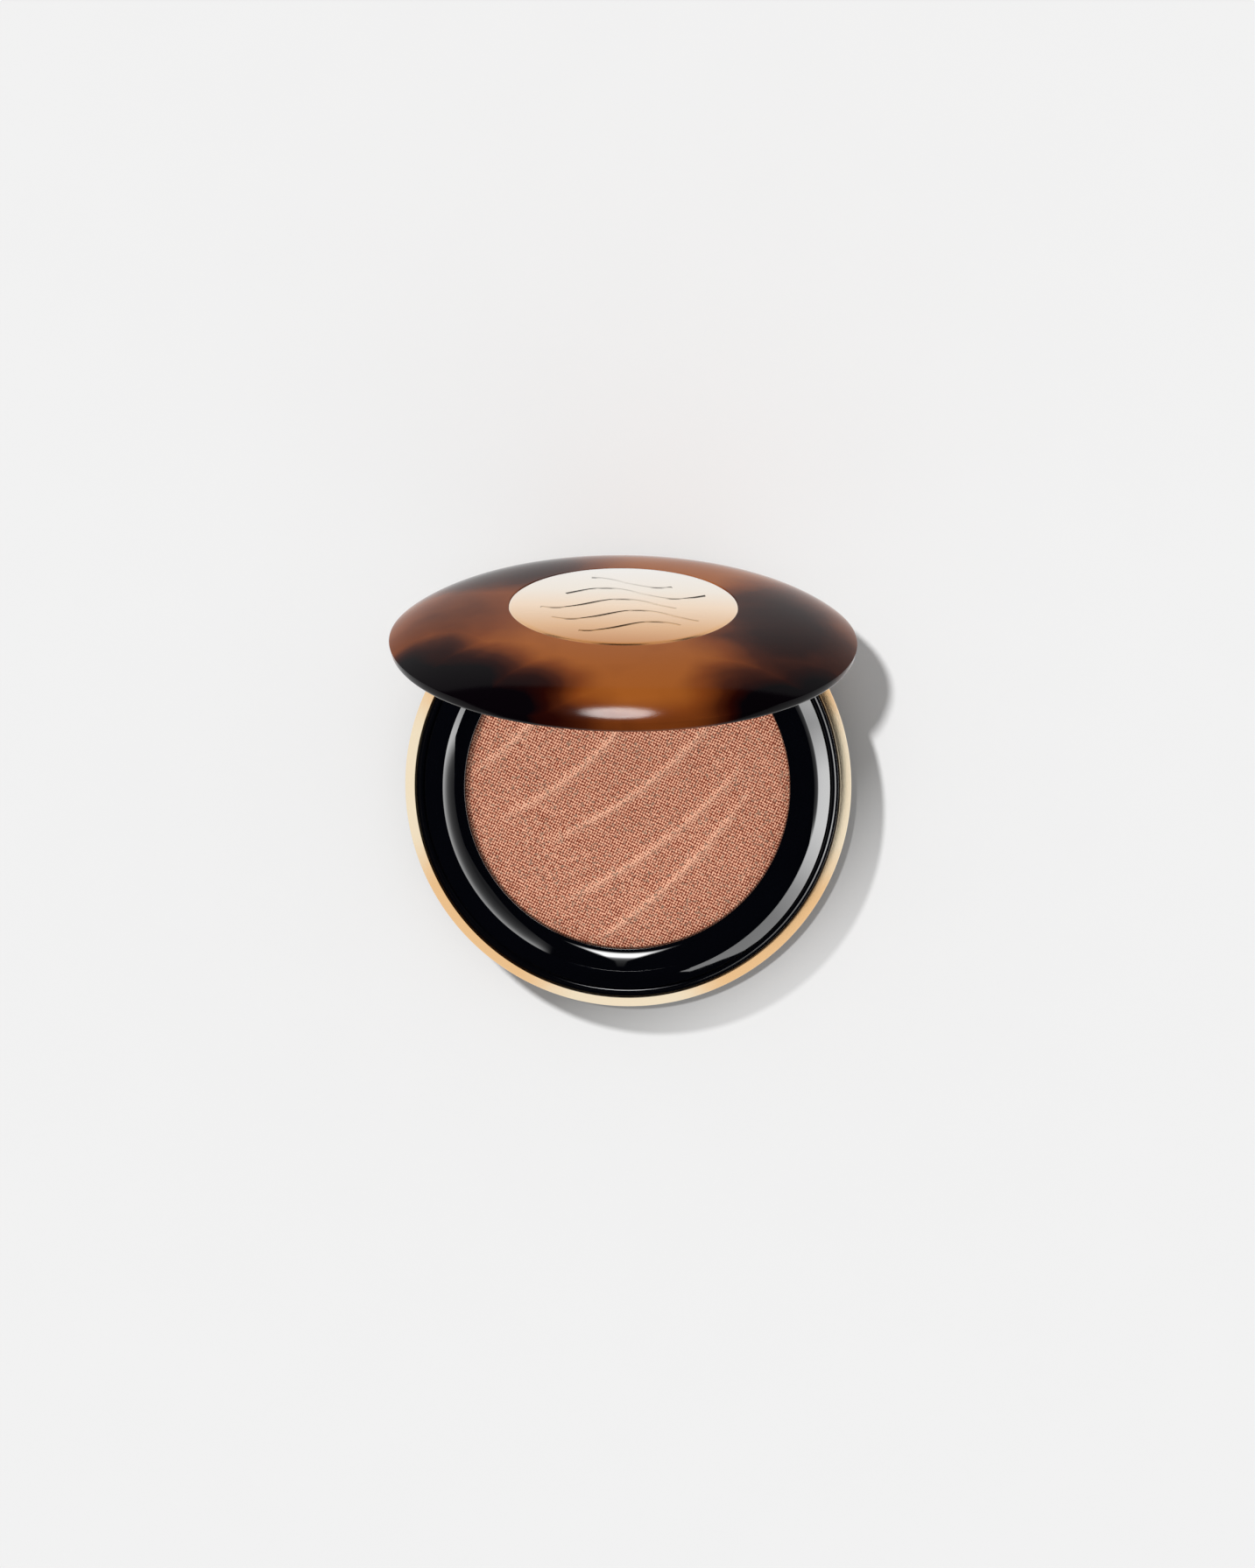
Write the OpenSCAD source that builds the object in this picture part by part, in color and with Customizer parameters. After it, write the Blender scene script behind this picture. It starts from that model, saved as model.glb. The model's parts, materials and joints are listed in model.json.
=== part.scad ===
// Round powder compact with a domed hinged lid, a mirror inside it and a
// pressed powder pan in the base. Millimetres, +Z up. The origin is the centre
// of the flat face that the compact stands on; the hinge is at +Y and the
// front, where the lid opens, is at -Y. The lid is drawn standing open.

/* [Body] */
// Outside diameter of the waist band and of the lid
body_d = 80; // [76:1:86]
// Height of the plane where the closed lid sits on the base
seat_h = 10.5; // [10.2:0.1:12]
// Wall of the lower bowl
bowl_wall = 1.5; // [1.2:0.1:1.8]
// Height of the gold waist band
band_h = 3.4; // [3:0.1:3.6]

/* [Powder] */
// Outside diameter of the pressed metal pan
pan_d = 59; // [55:0.5:60]
// Depth of the pan
pan_h = 3.3; // [2.6:0.1:3.4]
// Height of the powder's crown over the rim of its pan
powder_crown = 0.6; // [0.3:0.1:0.8]

/* [Tray] */
// Diameter of the ridge on the tray ring
ridge_d = 66.4; // [66:0.1:67]
// Height of the ridge over the seat plane
ridge_rise = 3.0; // [2.7:0.1:3.1]

/* [Lid] */
// How far the lid stands open from closed, in degrees
lid_open = 74.4; // [0:0.1:105]
// Crown of the dome over the seat plane
dome_h = 8.34; // [8.2:0.02:9]
// Height of the lid's widest line over the seat plane
rim_h = 2; // [1.8:0.1:2.2]
// Diameter of the inlaid medallion
medallion_d = 39; // [30:0.5:40]
// Diameter of the mirror
mirror_d = 59; // [54:0.5:59]
// Thickness of the mirror glass
mirror_t = 1.3; // [1:0.1:1.4]

/* [Hinge] */
// Distance of the hinge axis inside the outside diameter
hinge_inset = 2.55; // [2.5:0.01:2.6]
// Diameter of the hinge pin
pin_d = 1.5; // [1.2:0.1:1.6]
// Outside diameter of the hinge knuckles
knuckle_d = 3.4; // [3.2:0.1:3.5]
// Width of the middle knuckle, which belongs to the base
base_knuckle_w = 10; // [9:0.5:10.5]
// Width of each lid knuckle
lid_knuckle_w = 4.15; // [3.5:0.05:4.2]

/* [Hidden] */
$fn = 180;

BLACK = "#101216";
GOLD = "#e2b677";
TORTOISE = "#6e3b1c";
POWDER = "#c98d70";
STEEL = "#a9abae";
ALUMINIUM = "#c9cbce";
FOAM = "#3b3c40";

body_r = body_d / 2;
gap = 0.05;                        // fit between pieces of one body
small = 0.01;                      // overlap of a cut past a face

// Lower bowl: its side is part of a circle that stops at the band
bowl_top = seat_h - 0.1 - band_h;
bowl_arc_r = 14.2;
bowl_arc_c = [body_r - 13.15, 14];
collar_r = body_r - 4.1;           // stands inside the tray skirt
collar_w = 1.2;
collar_top = seat_h - 1;
rib_r = 27;                        // ring rib under the pan carrier
rib_w = 1;

// Waist band, with its widest line at half height
band_in = body_r - 2.2;
band_shoulder = 0.7;

// Tray ring
tray_r = body_r - 2.3;
skirt_in = body_r - 4;
skirt_bottom = bowl_top + 0.6;
ridge_r = ridge_d / 2;
ridge_z = seat_h + ridge_rise;
slope_arc_r = 7.5;                 // hollow slope inside the ridge
slope_start = 4.5;
slope_end = 36;
land_w = 0.7;                      // narrow land outside the ridge, then a cone
land_drop = 0.16;
cone_r = body_r - 4;
cone_drop = 1.73;
groove_w = 0.4;
groove_z = seat_h - 0.05;
bead_r = 0.5;
bead_sink = 0.2;
channel_top = seat_h + 0.3;
channel_r = cone_r - 1;
lip_w = 0.6;                       // the tray's lip covers the pan's rim
lip_t = 0.35;
opening_r = pan_d / 2 - lip_w;
well_in = pan_d / 2 + 0.1;
well_w = 1;

// Stack inside the base, from the bowl's floor up
pad_t = 0.3;
ballast_r = 24;
ballast_t = 2;
carrier_t = 1.1;
adhesive_t = 0.3;
pan_wall = 0.4;
lip_z = seat_h + 0.15;
pan_top = lip_z - gap;
pan_z = pan_top - pan_h;
carrier_top = pan_z - adhesive_t;
carrier_z = carrier_top - carrier_t;
opening_z = lip_z + lip_t;

// Sticker underneath
label_r = 18;
label_recess = 0.3;
label_t = 0.15;

// Closure magnets, side by side at the front
magnet_angle = 12;
base_magnet_r = 2;
base_magnet_t = 1.2;
base_magnet_ring = (channel_r + well_in + well_w) / 2;
magnet_pocket_r = 2.7;
lid_magnet_r = 1.5;
lid_magnet_t = 0.75;
lid_magnet_ring = ridge_r - 1.25;
bumper_angle = 38;
bumper_r = 1;
bumper_t = 0.22;

// Lid, with heights over the seat plane
dome_power = 4.4;                  // squareness of the dome's section
dome_fall = 0.92;
lid_wall = 1.95;                   // at the rim
lip_undercut = 1.5;                // the rim draws in to the seat
cavity_r = body_r - lid_wall;
cavity_crown = dome_h - 1.14;
cavity_ceiling = 6.1;
recess_floor = 7.35;
medallion_r = medallion_d / 2;
glue_t = 0.1;
liner_face = ridge_rise + 0.3;     // flat ring around the mirror
liner_skirt_r = cavity_r - 0.95;
liner_skirt_bottom = 0.5;
mirror_setback = 0.15;
tape_t = 0.25;
mirror_r = mirror_d / 2;

// Hinge
hinge_y = body_r - hinge_inset;
pin_r = pin_d / 2;
knuckle_r = knuckle_d / 2;
press_gap = 0.01;
running_gap = 0.05;
knuckle_clear = 0.2;
washer_t = 0.3;
lid_knuckle_x = base_knuckle_w / 2 + washer_t + running_gap;
hinge_end_x = lid_knuckle_x + lid_knuckle_w;
plug_t = 0.45;
rim_sweep_r = 3.5;                 // room for the lid's rear rim as it swings
rim_sweep_x = 13.5;
arch_r = 2.2;                      // arch over the knuckles in the lid's rim
web_y = 2.5;                       // the web under the middle knuckle

// Points along an arc, from angle a0 to a1 measured from +X
function arc(c, r, a0, a1, n) =
    [for (i = [0:n]) let (a = a0 + (a1 - a0) * i / n) c + r * [cos(a), sin(a)]];

// Section of a dome: flat on top, then falling ever faster to the rim at r
function dome_z(x, r, crown, rim) = rim + (crown - rim) * pow(1 - pow(x / r, dome_power), dome_fall);
function dome_x(t, r) = r * pow(sin(t), 2 / dome_power);
function dome_points(r, crown, rim, t0, n) =
    [for (i = [0:n]) let (x = dome_x(t0 + (90 - t0) * i / n, r)) [x, dome_z(x, r, crown, rim)]];

// A cylinder along X, centred on the hinge axis
module along_hinge(r, x0, x1) {
    translate([x0, hinge_y, seat_h]) rotate([0, 90, 0]) cylinder(r = r, h = x1 - x0);
}

// The same on both sides of the middle
module both_sides(r, x0, x1) {
    along_hinge(r, x0, x1);
    along_hinge(r, -x1, -x0);
}

// Space that the lid's rear rim sweeps: a barrel around the hinge axis
module rim_sweep() {
    sag = rim_sweep_r - arch_r;
    barrel_r = (rim_sweep_x * rim_sweep_x + sag * sag) / (2 * sag);
    translate([0, hinge_y, seat_h]) rotate([0, 90, 0]) rotate_extrude() intersection() {
        translate([rim_sweep_r - barrel_r, 0]) circle(r = barrel_r, $fn = 720);
        translate([0, -rim_sweep_x]) square([rim_sweep_r + 1, 2 * rim_sweep_x]);
    }
}

// Carries the lid's pieces, which are modelled closed, to where they stand
module opened() {
    translate([0, hinge_y, seat_h]) rotate([-lid_open, 0, 0]) translate([0, -hinge_y, 0]) children();
}

// Puts two copies at the front, at an angle each side of the middle
module front_pair(ring, angle) {
    for (side = [-1, 1]) rotate([0, 0, side * angle]) translate([0, -ring, 0]) children();
}

module base_shell() color(BLACK) difference() {
    union() {
        difference() {
            rotate_extrude() bowl_section();
            both_sides(knuckle_r + knuckle_clear, base_knuckle_w / 2, hinge_end_x + knuckle_clear);
            rim_sweep();
        }
        along_hinge(knuckle_r, -base_knuckle_w / 2, base_knuckle_w / 2);
        translate([-base_knuckle_w / 2, hinge_y - web_y, bowl_top - collar_w])
            cube([base_knuckle_w, web_y - 0.1, seat_h - bowl_top + collar_w]);
    }
    along_hinge(pin_r + press_gap, -base_knuckle_w, base_knuckle_w);
    translate([0, 0, -1]) cylinder(r = label_r + 0.2, h = 1 + label_recess);
}

module bowl_section() {
    difference() {
        union() {
            square([bowl_arc_c[0], bowl_top]);
            intersection() {
                translate(bowl_arc_c) circle(r = bowl_arc_r);
                square([body_r, bowl_top]);
            }
        }
        translate([-1, bowl_wall]) square([bowl_arc_c[0] + 1, seat_h]);
        intersection() {
            translate(bowl_arc_c) circle(r = bowl_arc_r - bowl_wall);
            translate([0, bowl_wall]) square([body_r, seat_h]);
        }
    }
    translate([collar_r - collar_w, bowl_top - collar_w]) square([collar_w + 2.6, collar_w]);
    translate([collar_r - collar_w, bowl_top - collar_w]) square([collar_w, collar_top - bowl_top + collar_w]);
    translate([rib_r, bowl_wall - 0.5]) square([rib_w, carrier_z - bowl_wall + 0.5]);
}

module waist_band() color(GOLD) difference() {
    rotate_extrude() polygon([
        [band_in, bowl_top], [body_r - band_shoulder, bowl_top], [body_r, bowl_top + 1],
        [body_r, bowl_top + 1.7], [band_in + 0.5, bowl_top + band_h], [band_in, bowl_top + band_h]
    ]);
    rim_sweep();
}

module inner_tray() color(BLACK) difference() {
    union() {
        rotate_extrude() tray_section();
        front_pair(base_magnet_ring, magnet_angle) magnet_pocket();
    }
    along_hinge(knuckle_r + knuckle_clear, -hinge_end_x - knuckle_clear, hinge_end_x + knuckle_clear);
    translate([-rim_sweep_x, hinge_y - 0.15, 0]) cube([2 * rim_sweep_x, body_r, seat_h + ridge_rise]);
    translate([-base_knuckle_w / 2 - 0.2, hinge_y - web_y - 0.2, 0])
        cube([base_knuckle_w + 0.4, body_r, seat_h + 0.2]);
}

module magnet_pocket() {
    translate([0, 0, channel_top - base_magnet_t]) difference() {
        cylinder(r = magnet_pocket_r, h = base_magnet_t + small);
        translate([0, 0, -1]) cylinder(r = base_magnet_r + gap, h = base_magnet_t + 1);
    }
}

// Inside the ridge a hollow slope that steepens up to it; outside, a cone that
// ends at a groove, with a small bead beside the band
module tray_section() {
    slope_c = [ridge_r, ridge_z] + slope_arc_r * [-sin(slope_end), cos(slope_end)];
    land = [ridge_r + land_w, ridge_z - land_drop];
    bead_c = [cone_r + groove_w + bead_r, seat_h - bead_sink];
    bead_side = asin((groove_z - bead_c[1]) / bead_r);
    polygon(concat(
        [[well_in, carrier_top], [well_in, lip_z], [opening_r, lip_z], [opening_r, opening_z]],
        arc(slope_c, slope_arc_r, slope_start - 90, slope_end - 90, 7),
        [land, [cone_r, land[1] - cone_drop], [cone_r, groove_z]],
        arc(bead_c, bead_r, 180 - bead_side, bead_side, 6),
        [[tray_r, groove_z], [tray_r, skirt_bottom], [skirt_in, skirt_bottom], [skirt_in, collar_top + 0.2],
         [channel_r, collar_top + 0.2], [channel_r, channel_top], [well_in + well_w, channel_top],
         [well_in + well_w, carrier_top]]
    ));
}

module pan_carrier() color(BLACK)
    translate([0, 0, carrier_z]) cylinder(r = well_in + well_w, h = carrier_t);

module pan_adhesive() color(FOAM)
    translate([0, 0, carrier_top]) cylinder(r = pan_d / 2 - 2.5, h = adhesive_t);

module powder_pan() color(ALUMINIUM) difference() {
    translate([0, 0, pan_z]) cylinder(d = pan_d, h = pan_h);
    translate([0, 0, pan_z + pan_wall]) cylinder(d = pan_d - 2 * pan_wall, h = pan_h);
}

// The powder is domed: level with its pan at the lip, higher in the middle
module powder_cake() color(POWDER) {
    cake_r = pan_d / 2 - pan_wall - gap;
    crown_r = (opening_r * opening_r + powder_crown * powder_crown) / (2 * powder_crown);
    crown_angle = asin(opening_r / crown_r);
    rotate_extrude() polygon(concat(
        [[0, pan_z + pan_wall], [cake_r, pan_z + pan_wall], [cake_r, pan_top - gap]],
        arc([0, pan_top + powder_crown - crown_r], crown_r, 90 - crown_angle, 90, 10)
    ));
}

module ballast_pad() color(FOAM)
    translate([0, 0, bowl_wall]) cylinder(r = ballast_r - 1, h = pad_t);

module ballast_plate() color(STEEL)
    translate([0, 0, bowl_wall + pad_t]) cylinder(r = ballast_r, h = ballast_t);

module base_magnets() color(STEEL)
    front_pair(base_magnet_ring, magnet_angle) translate([0, 0, channel_top - base_magnet_t])
        cylinder(r = base_magnet_r, h = base_magnet_t);

module base_label() color("white")
    translate([0, 0, label_recess - label_t]) cylinder(r = label_r, h = label_t);

module hinge_pin() color(STEEL)
    along_hinge(pin_r, gap + plug_t - hinge_end_x, hinge_end_x - plug_t - gap);

module hinge_washers() color("white") difference() {
    both_sides(knuckle_r, base_knuckle_w / 2, base_knuckle_w / 2 + washer_t);
    along_hinge(pin_r + press_gap, -base_knuckle_w, base_knuckle_w);
}

// Outside of the lid, and the hollow inside it, in section
module lid_outline() {
    underside = [for (i = [1:8]) let (t = 90 * i / 8)
        [body_r - lip_undercut * (1 - cos(t)), rim_h * (1 - sin(t))]];
    polygon(concat([[0, 0], [0, dome_h]], dome_points(body_r, dome_h, rim_h, 4, 20), underside));
}

module cavity_section(fit) {
    intersection() {
        polygon(concat([[0, -1], [0, cavity_crown - fit]],
            dome_points(cavity_r - fit, cavity_crown - fit, rim_h, 4, 16), [[cavity_r - fit, -1]]));
        translate([0, -1]) square([body_r, cavity_ceiling - fit + 1]);
    }
}

module lid_shell() color(TORTOISE) opened() difference() {
    rotate_extrude() difference() {
        lid_outline();
        cavity_section(0);
        translate([-1, recess_floor]) square([medallion_r + gap + 1, dome_h]);
    }
    translate([0, 0, -seat_h]) along_hinge(arch_r, -hinge_end_x - knuckle_clear, hinge_end_x + knuckle_clear);
}

module medallion() color(GOLD) opened() {
    edge = dome_z(medallion_r, body_r, dome_h, rim_h);
    rotate_extrude() polygon(concat(
        [[0, dome_h], [0, recess_floor + glue_t], [medallion_r, recess_floor + glue_t],
         [medallion_r, edge - 0.15]],
        [for (i = [8:-1:1]) let (x = (medallion_r - 0.15) * i / 8) [x, dome_z(x, body_r, dome_h, rim_h)]]
    ));
}

module medallion_adhesive() color(FOAM) opened()
    translate([0, 0, recess_floor]) cylinder(r = medallion_r - 1, h = glue_t);

module lid_liner() color(BLACK) opened() {
    bore = pin_r + running_gap;
    difference() {
        union() {
            difference() {
                rotate_extrude() liner_section();
                lid_magnet_pockets();
                closed_hinge(knuckle_r + knuckle_clear, 0, lid_knuckle_x);
            }
            closed_hinge(knuckle_r, lid_knuckle_x, hinge_end_x);
        }
        closed_hinge(bore, 0, hinge_end_x + 1);
    }
}

// A cylinder about the hinge axis on each side, in the closed lid's own heights
module closed_hinge(r, x0, x1) {
    translate([0, 0, -seat_h]) both_sides(r, x0 - (x0 == 0 ? small : 0), x1);
}

module liner_section() {
    difference() {
        intersection() {
            cavity_section(gap);
            translate([0, liner_skirt_bottom]) square([body_r, dome_h]);
        }
        polygon([
            [-1, -1], [liner_skirt_r, -1], [liner_skirt_r, 1.3], [liner_skirt_r - 1.4, 2.35],
            [liner_skirt_r - 2.5, liner_face], [mirror_r + 0.1, liner_face],
            [mirror_r + 0.1, mirror_top() + tape_t], [-1, mirror_top() + tape_t]
        ]);
    }
}

function mirror_top() = liner_face + mirror_setback + mirror_t;

module lid_magnet_pockets() {
    front_pair(lid_magnet_ring, magnet_angle) translate([0, 0, liner_face + 0.25])
        cylinder(r = lid_magnet_r + gap, h = 3);
}

module mirror() color("#dfe6ea") opened()
    translate([0, 0, liner_face + mirror_setback]) cylinder(r = mirror_r, h = mirror_t);

module mirror_tape() color(FOAM) opened()
    translate([0, 0, mirror_top()]) cylinder(r = mirror_r - 1.5, h = tape_t);

module lid_magnets() color(STEEL) opened()
    front_pair(lid_magnet_ring, magnet_angle) translate([0, 0, liner_face + 0.25])
        cylinder(r = lid_magnet_r, h = lid_magnet_t);

module lid_bumpers() color("#2b2c30") opened()
    front_pair(ridge_r - 0.4, bumper_angle) translate([0, 0, liner_face - bumper_t])
        cylinder(r = bumper_r, h = bumper_t);

module hinge_plugs() color(BLACK) opened()
    closed_hinge(pin_r + running_gap, hinge_end_x - plug_t, hinge_end_x);

base_shell();
waist_band();
inner_tray();
pan_carrier();
pan_adhesive();
powder_pan();
powder_cake();
ballast_plate();
ballast_pad();
base_magnets();
base_label();
hinge_pin();
hinge_washers();
lid_shell();
medallion();
medallion_adhesive();
lid_liner();
mirror();
mirror_tape();
lid_magnets();
lid_bumpers();
hinge_plugs();
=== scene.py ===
import json
from math import asin, cos, degrees, hypot, pi, radians, sin, sqrt

import bmesh
import bpy
from mathutils import Matrix, Vector


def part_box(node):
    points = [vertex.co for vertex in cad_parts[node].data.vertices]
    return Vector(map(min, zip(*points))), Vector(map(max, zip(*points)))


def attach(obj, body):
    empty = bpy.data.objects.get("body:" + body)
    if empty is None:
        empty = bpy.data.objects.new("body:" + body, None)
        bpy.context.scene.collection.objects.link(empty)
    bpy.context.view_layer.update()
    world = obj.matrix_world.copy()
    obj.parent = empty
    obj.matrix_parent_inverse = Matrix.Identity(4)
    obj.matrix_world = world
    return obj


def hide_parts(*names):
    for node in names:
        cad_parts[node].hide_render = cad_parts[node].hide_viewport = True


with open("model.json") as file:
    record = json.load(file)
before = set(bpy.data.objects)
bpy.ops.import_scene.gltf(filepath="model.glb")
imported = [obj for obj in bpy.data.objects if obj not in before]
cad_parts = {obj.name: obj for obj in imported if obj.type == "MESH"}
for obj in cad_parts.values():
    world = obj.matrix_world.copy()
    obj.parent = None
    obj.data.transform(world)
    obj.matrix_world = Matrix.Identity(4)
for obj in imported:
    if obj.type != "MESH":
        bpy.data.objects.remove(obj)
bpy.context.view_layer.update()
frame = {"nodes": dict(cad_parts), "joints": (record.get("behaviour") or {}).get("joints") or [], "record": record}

# ---- Camera ----
# The open compact is seen from nearly overhead, from 0.9 m away, with the
# camera leaning a little towards the hinge and a touch to the right.
mm = 0.001
camera_distance = 900 * mm
lean_to_hinge = radians(6.177)
lean_to_right = radians(1.868)
camera_roll = radians(1.015)
look_at = Vector((-0.075, 0.288, 8.5)) * mm
lens_length = 115.3

backward = Vector((sin(lean_to_right), sin(lean_to_hinge), 1)).normalized()
level_right = Vector((0, 1, 0)).cross(backward).normalized()
level_up = backward.cross(level_right)
camera_right = level_right * cos(camera_roll) + level_up * sin(camera_roll)
camera_up = level_up * cos(camera_roll) - level_right * sin(camera_roll)

camera = bpy.data.objects.new("camera", bpy.data.cameras.new("camera"))
camera.data.lens = lens_length
camera.data.sensor_width = 36
camera.data.clip_start = 0.01
camera.matrix_world = Matrix.Translation(look_at + backward * camera_distance) @ Matrix((
    camera_right, camera_up, backward)).transposed().to_4x4()
bpy.context.scene.collection.objects.link(camera)
bpy.context.scene.camera = camera


# ---- Floor ----
# A plain pale board of smooth matt card, wider than the picture.
class Value:
    """A socket in a node tree. Sums and products of it add Math nodes to the tree."""

    def __init__(self, tree, socket=None):
        self.tree = tree
        self.socket = socket

    def node(self, kind, settings=None, sockets=None, out=0):
        """Adds a node: its settings first, then the values or links of its sockets."""
        made = self.tree.nodes.new(kind)
        for name, value in (settings or {}).items():
            if name == "stops":
                ramp = made.color_ramp
                while len(ramp.elements) < len(value):
                    ramp.elements.new(1)
                for element, (position, colour) in zip(ramp.elements, value):
                    element.position = position
                    element.color = colour
            else:
                setattr(made, name, value)
        for name, value in (sockets or {}).items():
            if isinstance(value, Value):
                self.tree.links.new(value.socket, made.inputs[name])
            else:
                made.inputs[name].default_value = value
        return Value(self.tree, made.outputs[out])

    def maths(self, operation, *terms, clamp=False):
        """One Math node, with this value as its first term."""
        return self.node("ShaderNodeMath", {"operation": operation, "use_clamp": clamp},
                         dict(enumerate((self, *terms))))

    def __add__(self, other):
        return self.maths("ADD", other)

    def __mul__(self, other):
        return self.maths("MULTIPLY", other)

    def __sub__(self, other):
        return self.maths("SUBTRACT", other)

    def __rsub__(self, other):
        return (self * -1) + other

    def __truediv__(self, other):
        return self.maths("DIVIDE", other)

    def __pow__(self, other):
        return self.maths("POWER", other)

    def __neg__(self):
        return self * -1

    __radd__ = __add__
    __rmul__ = __mul__

    def smooth(self, low, high):
        """0 below low, 1 above high, and a soft step between them."""
        return self.node("ShaderNodeMapRange", {"interpolation_type": "SMOOTHSTEP"},
                         {"Value": self, "From Min": low, "From Max": high})


def mixed(factor, first, second):
    """The first colour where the factor is 0, the second where it is 1. The Mix
    node has sockets of the same name for each kind, so they are taken by number."""
    made = factor.tree.nodes.new("ShaderNodeMix")
    made.data_type = "RGBA"
    for index, value in ((0, factor), (6, first), (7, second)):
        if isinstance(value, Value):
            factor.tree.links.new(value.socket, made.inputs[index])
        else:
            made.inputs[index].default_value = value
    return Value(factor.tree, made.outputs[2])


def new_material(name, **constants):
    """A material with a Principled shader; the constants are set on the shader's own sockets."""
    material = bpy.data.materials.new(name)
    material.use_nodes = True
    shader = material.node_tree.nodes["Principled BSDF"]
    for socket, value in constants.items():
        shader.inputs[socket.replace("_", " ")].default_value = value
    return material, Value(material.node_tree)


def feed(material, socket, value):
    """Links a value that varies over the surface to one of the shader's sockets."""
    shader = material.node_tree.nodes["Principled BSDF"]
    material.node_tree.links.new(value.socket, shader.inputs[socket])


def place(root, location=(0, 0, 0), rotation=(0, 0, 0), scale=(1, 1, 1)):
    """Object coordinates, moved, turned and scaled."""
    coordinates = root.node("ShaderNodeTexCoord", out="Object")
    return root.node("ShaderNodeMapping", {"vector_type": "POINT"}, {
        "Vector": coordinates, "Location": location, "Rotation": rotation, "Scale": scale})


def split(root, vector):
    """The X, Y and Z of a vector."""
    return [root.node("ShaderNodeSeparateXYZ", {}, {0: vector}, out=axis) for axis in "XYZ"]


def noise(root, vector, scale, detail=2.0, roughness=0.5, distortion=0.0):
    """A soft noise between 0 and 1; its scale is in waves per unit of the vector."""
    return root.node("ShaderNodeTexNoise", {}, {
        "Vector": vector, "Scale": scale, "Detail": detail, "Roughness": roughness,
        "Distortion": distortion})


def bump(root, height, distance, strength=1.0):
    """A normal raised by the height, which is as deep as the distance."""
    return root.node("ShaderNodeBump", {}, {
        "Height": height, "Distance": distance, "Strength": strength})


floor_paint, root = new_material("board", Roughness=0.6, Specular_IOR_Level=0.0)
board_grain = noise(root, place(root), 60.0, 3.0)
feed(floor_paint, "Base Color", mixed(board_grain, (0.80, 0.80, 0.80, 1), (0.81, 0.81, 0.81, 1)))
floor_half = 0.35
floor_mesh = bpy.data.meshes.new("floor")
square = ((-1, -1), (1, -1), (1, 1), (-1, 1))
floor_mesh.from_pydata([(x * floor_half, y * floor_half, 0) for x, y in square], [], [(0, 1, 2, 3)])
floor_mesh.materials.append(floor_paint)
floor = bpy.data.objects.new("floor", floor_mesh)
bpy.context.scene.collection.objects.link(floor)
floor.visible_glossy = False       # board_glow stands for it in reflections


# ---- Studio light ----
# Soft light from all round. One sun lights only the board, and a disc of gauze
# deepens the base's shadow; two suns light only the compact. Glowing panels and
# sheets show only as reflections: three for the gloss, three for the room.
bpy.context.scene.view_settings.view_transform = "Standard"
fill_light = 0.40      # light on matt surfaces
dark_above = 0.02      # what gloss reflects where there is no panel
backdrop = 0.888       # pale ground behind the board, and its reflection

world = bpy.data.worlds.new("studio")
world.use_nodes = True
bpy.context.scene.world = world
sky = Value(world.node_tree)
is_camera = sky.node("ShaderNodeLightPath", out="Is Camera Ray")
is_glossy = sky.node("ShaderNodeLightPath", out="Is Glossy Ray")
sky_strength = (is_camera * backdrop + is_glossy * dark_above
                + (1 - is_camera.maths("MAXIMUM", is_glossy)) * fill_light)
background = world.node_tree.nodes["Background"]
background.inputs["Color"].default_value = (1, 1, 1, 1)
world.node_tree.links.new(sky_strength.socket, background.inputs["Strength"])


def light_group(name, *members):
    """A collection that a light shines on, or is shaded by, alone."""
    group = bpy.data.collections.new(name)
    for member in members:
        group.objects.link(member)
    return group


on_board = light_group("on_board", floor)
base_group = light_group("base_group")
lid_group = light_group("lid_group")
tray_group = light_group("tray_group")
compact_group = light_group("compact_group")
board_shade = light_group("board_shade")
glow_group = light_group("glow_group")
wall_group = light_group("wall_group")


def sun(name, towards, energy, spread, receivers, blockers):
    """A sun that lights only the receivers and is shaded only by the blockers."""
    light = bpy.data.lights.new(name, "SUN")
    light.energy = energy
    light.angle = radians(spread)
    lamp = bpy.data.objects.new(name, light)
    lamp.rotation_euler = Vector(towards).to_track_quat("Z", "Y").to_euler()
    lamp.visible_glossy = False
    lamp.light_linking.receiver_collection = receivers
    lamp.light_linking.blocker_collection = blockers
    bpy.context.scene.collection.objects.link(lamp)


sun("board_sun", (-0.140, 0.211, 1), 2.28, 2.2, on_board, board_shade)
sun("key", (-0.62, 0.34, 1), 1.6, 12, compact_group, base_group)
sun("soft", (0, -0.2, 1), 0.75, 150, compact_group, compact_group)

gauze_r = 40.5 * mm
gauze_centre = (1.46 * mm, 0.58 * mm, 30 * mm)
gauze_corners = 128
gauze_slope = Vector((0.62, -0.79, 0)) / gauze_r    # thinner towards the right front
gauze_paint, root = new_material("gauze", Base_Color=(0, 0, 0, 1), Specular_IOR_Level=0.0)
across_gauze = root.node("ShaderNodeVectorMath", {"operation": "DOT_PRODUCT"}, {
    0: root.node("ShaderNodeTexCoord", out="Object"), 1: gauze_slope}, out="Value")
feed(gauze_paint, "Alpha", (0.98 - (across_gauze - 0.4) * 1.08).maths("MAXIMUM", 0.0, clamp=True))
gauze_mesh = bpy.data.meshes.new("gauze")
gauze_mesh.from_pydata([(gauze_centre[0] + gauze_r * cos(2 * pi * i / gauze_corners),
                         gauze_centre[1] + gauze_r * sin(2 * pi * i / gauze_corners), gauze_centre[2])
                        for i in range(gauze_corners)], [], [range(gauze_corners)])
gauze_mesh.materials.append(gauze_paint)
gauze = bpy.data.objects.new("gauze", gauze_mesh)
for seen_by in ("camera", "diffuse", "glossy", "transmission"):
    setattr(gauze, "visible_" + seen_by, False)
bpy.context.scene.collection.objects.link(gauze)
board_shade.objects.link(gauze)


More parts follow.
